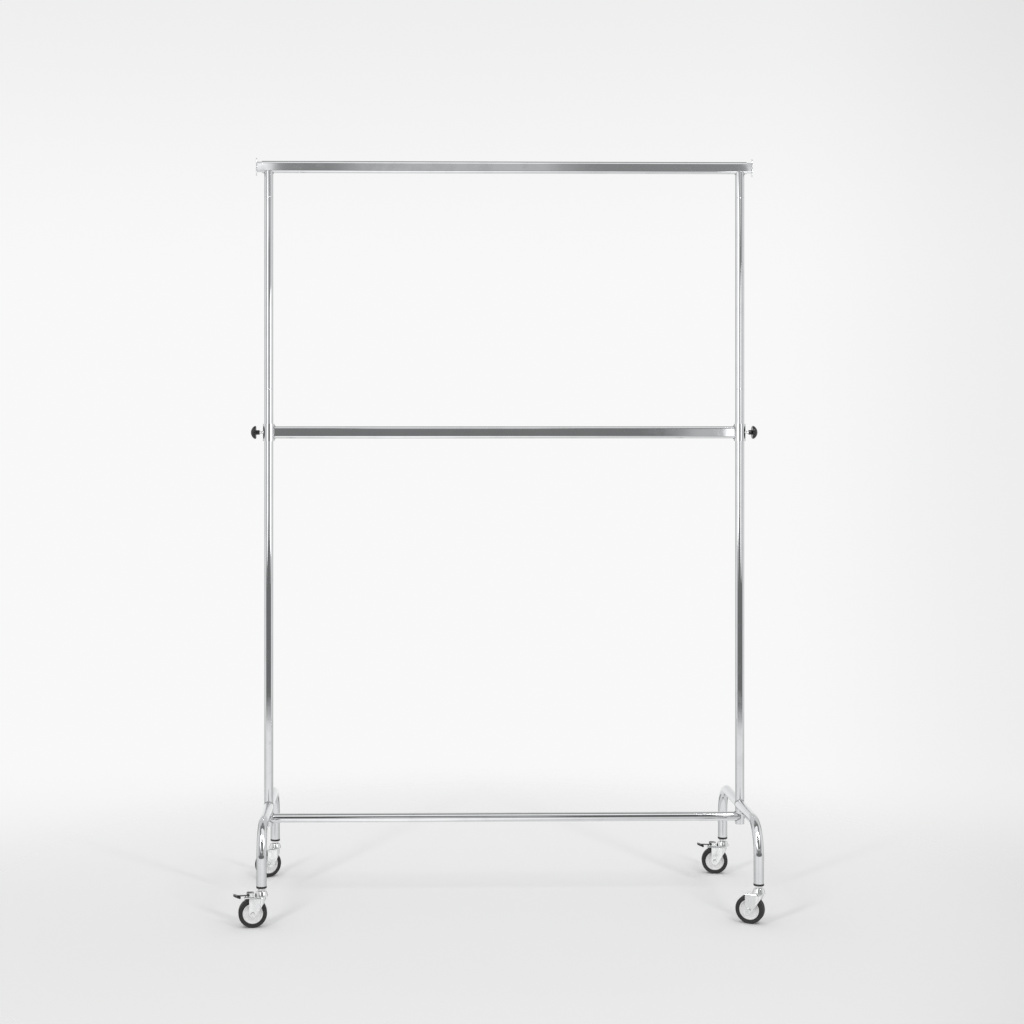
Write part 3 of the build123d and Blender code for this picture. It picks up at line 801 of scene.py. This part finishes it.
class RACK_OT_bolts(bpy.types.Operator):
    """Make the domed socket bolts of the lower crossbar"""

    bl_idname = "rack.bolts"
    bl_label = "Crossbar bolts"

    def execute(self, context):
        low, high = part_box("crossbar_bolts")
        stub_low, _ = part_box("left_base_stub")
        seat = -stub_low.x
        radius = (high.z - low.z) / 2 / MM
        reach = (high.x - seat) / MM
        bm = bmesh.new()
        for sign in SIDES.values():
            place = Vector((sign * seat, 0.0, (low.z + high.z) / 2))
            self.bolt(bm, place, Vector((sign, 0, 0)), radius, reach)
        close_seams(bm)
        finish_piece("crossbar_socket_bolts", bm, "crossbar_bolts")
        return {"FINISHED"}

    def bolt(self, bm, seat, axis, radius, reach):
        """One bolt, spun about its axis, with a hexagon socket sunk in its head."""
        shank, length = BOLT_SHANK
        mouth, flat, depth = SOCKET_MOUTH * radius, SOCKET_FLAT * radius, SOCKET_DEPTH * reach
        profile = [(0.0, -length), (shank, -length), (shank, 0.0)]
        profile += [(out * radius, along * reach) for out, along in BOLT_DOME]
        profile += [(mouth + SOCKET_RIM, reach), (mouth, reach)]
        known = set(bm.verts)
        turned(bm, profile, seat, axis, steps=48, closed=False)
        top = [v for v in bm.verts if v not in known
               and abs((v.co - seat).dot(axis) - reach * MM) < ON_PLANE]
        rim = [v for v in top
               if (v.co - seat - axis * reach * MM).length < (mouth + SOCKET_REACH) * MM]
        edges = list({e for v in rim for e in v.link_edges if e.is_boundary})
        for shift, hexagonal in ((0.0, True), (-depth, False)):
            made = bmesh.ops.extrude_edge_only(bm, edges=edges)["geom"]
            edges = [e for e in made if isinstance(e, bmesh.types.BMEdge) and e.is_boundary]
            for vert in {v for e in edges for v in e.verts}:
                if hexagonal:
                    offset = vert.co - seat - axis * (vert.co - seat).dot(axis)
                    angle = atan2(offset.z, offset.y) % (pi / 3) - pi / 6
                    offset = offset.normalized() * flat * MM / cos(angle)
                    vert.co = seat + axis * reach * MM + offset
                vert.co += axis * shift * MM
        bmesh.ops.edgeloop_fill(bm, edges=edges)


class RACK_OT_wheels(bpy.types.Operator):
    """Turn the tyres and hubs of the casters"""

    bl_idname = "rack.wheels"
    bl_label = "Wheels"

    def execute(self, context):
        for name in CASTERS:
            roll = JOINTS[f"{name}_roll"]
            self.tyre(name, roll["pos_m"], roll["axis"])
            self.hub(name, roll["pos_m"], roll["axis"])
        return {"FINISHED"}

    def tyre(self, name, centre, axis):
        """Solid tyre with round shoulders, a line on each side and a parting line on the tread."""
        low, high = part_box(f"{name}_tyre")
        hub_low, hub_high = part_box(f"{name}_hub")
        outer = (high.z - low.z) / 2 / MM
        inner = (hub_high.z - hub_low.z) / 2 / MM
        half = reach_along(f"{name}_tyre", centre, axis)
        side = [(inner + out, half + along) for out, along in TYRE_SIDE]
        side += [(outer, half), (outer, PARTING_HALF)]
        profile = both_faces(side, (outer - PARTING_DEPTH, 0.0))
        bm = bmesh.new()
        turned(bm, profile, centre, axis, steps=96)
        close_seams(bm)
        shoulders = [e for e in bm.edges if all(
            self.on_shoulder(v.co, centre, axis, outer, half) for v in e.verts)]
        round_edges(bm, sizes().tread_shoulder, shoulders, segments=8)
        finish_piece(f"{name}_rubber_tyre", bm, f"{name}_tyre")

    def on_shoulder(self, point, centre, axis, outer, half):
        """Whether a point is on the corner between the tread and the side."""
        axis = Vector(axis).normalized()
        offset = point - Vector(centre)
        along = offset.dot(axis)
        out = (offset - axis * along).length
        return (abs(abs(along) - half * MM) < ON_SHOULDER
                and abs(out - outer * MM) < ON_SHOULDER)

    def hub(self, name, centre, axis):
        """Moulded hub with a boss, a dished web with a ring, and a lipped rim."""
        low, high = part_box(f"{name}_hub")
        outer = (high.z - low.z) / 2 / MM
        rim = outer - HUB_RIM
        side = [(HUB_BORE, HUB_BOSS_HALF)]
        side += [(HUB_BOSS + out, along) for out, along in HUB_WEB]
        side += [(rim + out, along) for out, along in HUB_LIP]
        side += [(outer, HUB_RIM_HALF)]
        bm = bmesh.new()
        turned(bm, both_faces(side), centre, axis, steps=96)
        close_seams(bm)
        finish_piece(f"{name}_moulded_hub", bm, f"{name}_hub")


class RACK_OT_caster_frames(bpy.types.Operator):
    """Round the edges of the forks, axles, stems and leg inserts"""

    bl_idname = "rack.caster_frames"
    bl_label = "Caster frames"

    def execute(self, context):
        size = sizes()
        for name in CASTERS:
            eased_copy(f"{name}_fork", size.edge_round)
            eased_copy(f"{name}_axle", size.edge_round)
        eased_copy("caster_stems", size.edge_round)
        eased_copy("leg_inserts", size.edge_round)
        return {"FINISHED"}


class RACK_OT_brakes(bpy.types.Operator):
    """Round the brake levers and pedals, rib the pedals and rivet the cheeks"""

    bl_idname = "rack.brakes"
    bl_label = "Brakes"

    def execute(self, context):
        for name in BRAKED:
            for part in ("lever", "pin", "pedal"):
                eased_copy(f"{name}_brake_{part}", sizes().edge_round)
            self.ribs(name)
            self.rivets(name)
        return {"FINISHED"}

    def ribs(self, name):
        """Low ribs across the top of a pedal, near its tip."""
        brake = JOINTS[f"{name}_brake"]
        up = Vector((0, 0, 1))
        across = Vector(brake["axis"]).normalized()
        back = across.cross(up)
        slope = (back * PEDAL_RUN + up * PEDAL_RISE).normalized()
        tip = Vector(brake["pos_m"]) + (back * PEDAL_TIP[0] + up * PEDAL_TIP[1]) * MM
        turn = Matrix((slope, across, slope.cross(across))).transposed().to_4x4()
        bm = bmesh.new()
        for index in range(sizes().pedal_ribs):
            known = set(bm.verts)
            made = bmesh.ops.create_cube(bm, size=1.0)["verts"]
            bmesh.ops.scale(bm, vec=[length * MM for length in RIB_SIZE], verts=made)
            round_edges(bm, RIB_ROUND * MM, list({e for v in made for e in v.link_edges}))
            fresh = [v for v in bm.verts if v not in known]
            place = tip - slope * RIB_PITCH * (1 + index) * MM
            bmesh.ops.transform(bm, matrix=Matrix.Translation(place) @ turn, verts=fresh)
        close_seams(bm)
        finish_piece(f"{name}_pedal_ribs", bm, None, slot="black_plastic", body=f"{name}_brake")

    def rivets(self, name):
        """Domed rivet heads on the outer faces of the cheeks that hold a brake's pin."""
        brake = JOINTS[f"{name}_brake"]
        across = Vector(brake["axis"]).normalized()
        forward = Vector((0, 0, 1)).cross(across)
        middle = Vector(brake["pos_m"]) + forward * RIVET_REACH * MM
        bm = bmesh.new()
        for way in (across, -across):
            place = middle + way * CHEEK_FACE * MM
            turned(bm, RIVET_PROFILE, place, way, steps=32, closed=False)
        close_seams(bm)
        body = frame["nodes"][f"{name}_fork"]["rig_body"]
        finish_piece(f"{name}_rivets", bm, None, slot="zinc_hardware", body=body)


class RACK_OT_studio(bpy.types.Operator):
    """Lay the paper floor, set the light and stand the camera at the photograph's viewpoint"""

    bl_idname = "rack.studio"
    bl_label = "Studio"

    def execute(self, context):
        studio = context.scene.rack_studio
        self.floor(studio)
        self.light(context.scene, studio)
        self.camera(context.scene, studio)
        context.scene.view_settings.view_transform = "Standard"
        return {"FINISHED"}

    def floor(self, studio):
        """Round sheet of paper that fades into the backdrop, with painted shade darkening it
        towards the front. Metal mirrors the ground instead.
        """
        bm = bmesh.new()
        bmesh.ops.create_circle(bm, cap_ends=True, radius=studio.floor_radius, segments=96)
        mesh = bpy.data.meshes.new("studio_floor")
        bm.to_mesh(mesh)
        bm.free()
        paper = bpy.data.objects.new("studio_floor", mesh)
        bpy.context.scene.collection.objects.link(paper)
        material = bpy.data.materials.new("studio_paper")
        material.use_nodes = True
        tree = material.node_tree
        shader = tree.nodes["Principled BSDF"]
        shader.inputs["Roughness"].default_value = FLOOR_ROUGHNESS
        shader.inputs["Specular IOR Level"].default_value = 0.0
        place = add(tree, "ShaderNodeTexCoord", (-900, 0)).outputs["Object"]
        length = add(tree, "ShaderNodeVectorMath", (-700, 0), operation="LENGTH")
        link(tree, place, length.inputs[0])
        limits = [share * studio.floor_radius for share in FLOOR_FADE]
        fade = remap(tree, (-500, 0), length.outputs["Value"], *limits, 1.0, 0.0)
        path = add(tree, "ShaderNodeLightPath", (-500, -250))
        direct = remap(tree, (-300, -250), path.outputs["Is Glossy Ray"], 0.0, 1.0, 1.0, 0.0)
        link(tree, compute(tree, "MULTIPLY", (-200, 0), fade, direct), shader.inputs["Alpha"])
        # Painted light falloff: the paper's colour darkens from the back of the floor towards the
        # front.
        parts = add(tree, "ShaderNodeSeparateXYZ", (-700, 250))
        link(tree, place, parts.inputs[0])
        depth = remap(tree, (-500, 250), parts.outputs["Y"], *FLOOR_SHADE_SPAN)
        tint(tree, shader, depth, studio.shaded_near_floor, studio.lit_far_floor)
        mesh.materials.append(material)

    def light(self, scene, studio):
        """Soft even light, lamps, and a studio of walls and panels that metal mirrors."""
        world = bpy.data.worlds.new("studio_light")
        scene.world = world
        world.use_nodes = True
        tree = world.node_tree
        tree.nodes.clear()
        path = add(tree, "ShaderNodeLightPath", (-400, 700)).outputs
        through = compute(tree, "MAXIMUM", (-200, 700),
                          path["Is Camera Ray"], path["Is Transmission Ray"])
        sharp = compute(tree, "MAXIMUM", (200, 600), through, path["Is Glossy Ray"])
        seen = add(tree, "ShaderNodeBackground", (200, 200))
        link(tree, self.surroundings(tree, studio, through), seen.inputs["Strength"])
        lit = add(tree, "ShaderNodeBackground", (200, 0))
        lit.inputs["Strength"].default_value = studio.fill
        for light in (seen, lit):
            light.inputs["Color"].default_value = (1.0, 1.0, 1.0, 1.0)
        mix = add(tree, "ShaderNodeMixShader", (450, 100))
        link(tree, sharp, mix.inputs["Fac"])
        link(tree, lit.outputs[0], mix.inputs[1])
        link(tree, seen.outputs[0], mix.inputs[2])
        out = add(tree, "ShaderNodeOutputWorld", (650, 100))
        link(tree, mix.outputs[0], out.inputs["Surface"])
        x, y, z = SOFTBOX_PLACE
        for side, sign in SIDES.items():
            self.lamp(scene, f"{side}_softbox", (x * sign, y, z), SOFTBOX_AIM, SOFTBOX_SIZE,
                      studio.lamp_power)
        for name, place, target, extent, setting in CARDS:
            power = getattr(studio, setting) * pi * extent[0] * extent[1]
            card = self.lamp(scene, name, place, target, extent, power)
            card.visible_diffuse = False

    def surroundings(self, tree, studio, through):
        """Level in every direction: the backdrop to a ray straight through, the walls to metal."""
        place = add(tree, "ShaderNodeTexCoord", (-2300, 0))
        parts = add(tree, "ShaderNodeSeparateXYZ", (-2100, 0))
        link(tree, place.outputs["Generated"], parts.inputs[0])
        x, y, z = parts.outputs
        front = compute(tree, "MULTIPLY", (-1900, -100), y, -1.0)
        right = compute(tree, "ARCTAN2", (-1700, 300), x, front)
        ways = {
            "right": right,
            "left": compute(tree, "MULTIPLY", (-1500, 300), right, -1.0),
            "turn": compute(tree, "ABSOLUTE", (-1500, 0), right),
        }
        rise = compute(tree, "ARCSINE", (-1700, -250), z)
        backdrop = self.backdrop(tree, studio, x, rise)
        level = self.walls(tree, ways, rise, backdrop)
        low, high = (radians(limit) for limit in SHADE_RISE)
        shade = remap(tree, (-700, 0), rise, low, high, *SHADE_LEVELS)
        high_shade = band(tree, (-700, -200), rise, HIGH_SHADE_RISE)
        shade = blended(tree, (-550, 0), high_shade, shade, HIGH_SHADE_LEVEL)
        for row, (name, way, across, upward, area_level) in enumerate(MIRRORED_AREAS):
            below = -500 - 400 * row
            mask = band(tree, (-1200, below), rise, upward)
            if way:
                sideways = band(tree, (-1200, below + 200), ways[way], across)
                mask = compute(tree, "MULTIPLY", (-900, below), sideways, mask)
            if area_level is None:
                area_level = shade
            level = blended(tree, (-600 + 50 * row, below), mask, level, area_level, name)
        return blended(tree, (0, 300), through, level, backdrop, "seen or mirrored")

    def backdrop(self, tree, studio, x, rise):
        """Level of the floor and the backdrop, which falls off upwards and to the right."""
        floor, top = (radians(limit) for limit in SWEEP_RISE)
        level = remap(tree, (-1500, 1200), rise, floor, top, studio.floor_level, studio.backdrop)
        low, high = (radians(limit) for limit in HIGH_RISE)
        falloff = remap(tree, (-1500, 1500), rise, low, high, 0.0, FALLOFF)
        level = compute(tree, "SUBTRACT", (-1300, 1200), level, falloff)
        falloff = remap(tree, (-1300, 1500), x, *RIGHT_SIDE, 0.0, FALLOFF)
        return compute(tree, "SUBTRACT", (-1100, 1200), level, falloff)

    def walls(self, tree, ways, rise, backdrop):
        """Level of the front, the sides and the striped ground, with the backdrop behind them."""
        turn = ways["turn"]
        sides = band(tree, (-1200, 900), turn, SIDE_TURN)
        level = blended(tree, (-900, 900), sides, FRONT_LEVEL, SIDE_LEVEL, "walls")
        stripes = compute(tree, "MULTIPLY", (-1500, 1800), ways["right"], STRIPE_COUNT)
        stripes = compute(tree, "COSINE", (-1300, 1800), stripes)
        stripes = remap(tree, (-1100, 1800), stripes, -1.0, 1.0, *STRIPE_LEVELS)
        sides = band(tree, (-1200, 1050), turn, GROUND_SIDE_TURN)
        ground = blended(tree, (-900, 1100), sides, stripes, GROUND_SIDE_LEVEL, "ground")
        above = band(tree, (-1000, 1000), rise, GROUND_RISE)
        level = blended(tree, (-850, 900), above, ground, level, "ground and walls")
        behind = band(tree, (-1200, 700), turn, BACK_TURN)
        return blended(tree, (-800, 900), behind, level, backdrop, "backdrop")

    def lamp(self, scene, name, place, target, size, power):
        """Soft rectangular lamp that metal mirrors and the camera doesn't see."""
        lamp = bpy.data.lights.new(name, "AREA")
        lamp.shape = "RECTANGLE"
        lamp.size, lamp.size_y = size
        lamp.energy = power
        holder = bpy.data.objects.new(name, lamp)
        holder.location = place
        aim = Vector(target) - holder.location
        holder.rotation_euler = aim.to_track_quat("-Z", "Y").to_euler()
        holder.visible_camera = False
        scene.collection.objects.link(holder)
        return holder

    def camera(self, scene, studio):
        """Camera at the photograph's place and lens."""
        data = bpy.data.cameras.new("photo_camera")
        data.lens = studio.lens
        data.sensor_width = SENSOR_WIDTH
        data.shift_x, data.shift_y = studio.shift
        holder = bpy.data.objects.new("photo_camera", data)
        holder.location = studio.camera_place
        holder.rotation_euler = (pi / 2, 0.0, studio.camera_yaw)
        scene.collection.objects.link(holder)
        scene.camera = holder


class RACK_PT_panel(bpy.types.Panel):
    """Sidebar panel that lists the rack's parts and settings"""

    bl_idname = "RACK_PT_panel"
    bl_label = "Clothes rack"
    bl_space_type = "VIEW_3D"
    bl_region_type = "UI"
    bl_category = "Rack"

    def draw(self, context):
        for operator in OPERATORS:
            self.layout.operator(operator.bl_idname)
        for setting in GROUPS:
            group = getattr(context.scene, setting)
            for name in group.bl_rna.properties.keys():
                if name not in ("rna_type", "name"):
                    self.layout.prop(group, name)


GROUPS = {"rack_sizes": RackSizes, "rack_finish": RackFinish, "rack_studio": RackStudio}
OPERATORS = (RACK_OT_finishes, RACK_OT_tubes, RACK_OT_welds, RACK_OT_clamps, RACK_OT_bolts,
             RACK_OT_wheels, RACK_OT_caster_frames, RACK_OT_brakes, RACK_OT_studio)
CLASSES = (*GROUPS.values(), *OPERATORS, RACK_PT_panel)


def register():
    """Register the classes and hang the settings on the scene."""
    for each in CLASSES:
        bpy.utils.register_class(each)
    for name, group in GROUPS.items():
        setattr(bpy.types.Scene, name, PointerProperty(type=group))


def unregister():
    """Take the settings off the scene and unregister the classes."""
    for name in GROUPS:
        delattr(bpy.types.Scene, name)
    for each in reversed(CLASSES):
        bpy.utils.unregister_class(each)


def main():
    """Build the whole rack."""
    register()
    bpy.ops.rack.finishes()
    bpy.ops.rack.tubes()
    bpy.ops.rack.welds()
    bpy.ops.rack.clamps()
    bpy.ops.rack.bolts()
    bpy.ops.rack.wheels()
    bpy.ops.rack.caster_frames()
    bpy.ops.rack.brakes()
    bpy.ops.rack.studio()


if __name__ == "__main__":
    main()
